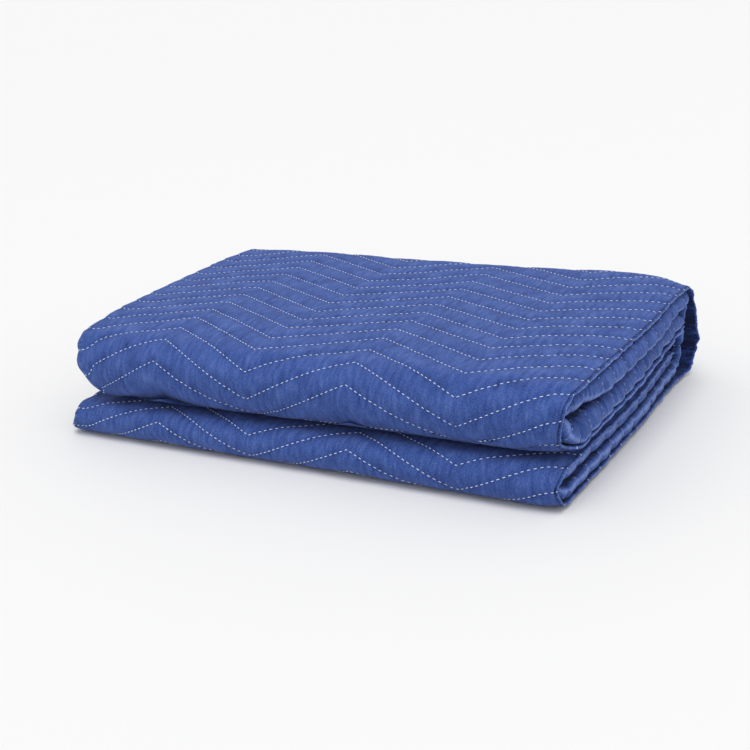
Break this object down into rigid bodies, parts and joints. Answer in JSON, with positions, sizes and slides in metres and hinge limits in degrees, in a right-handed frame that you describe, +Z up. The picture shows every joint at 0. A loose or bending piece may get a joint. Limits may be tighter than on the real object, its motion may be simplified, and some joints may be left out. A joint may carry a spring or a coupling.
{
  "type": "folded moving blanket",
  "caption": "Quilted moving blanket folded in three and then like a book into a thick flat pack, with zigzag stitching and an open end that shows its layers.",
  "frame": {"origin": "on the surface it rests on, under the middle of the folded blanket", "axes": "+X along the long folded side towards the open end, +Y from the front fold to the spine, +Z up"},
  "size_m": [0.713, 0.4558, 0.1429],
  "materials": {
    "quilted_cloth": "matte"
  },
  "bodies": {
    "root": {"blanket": "quilted_cloth"}
  },
  "joints": []
}
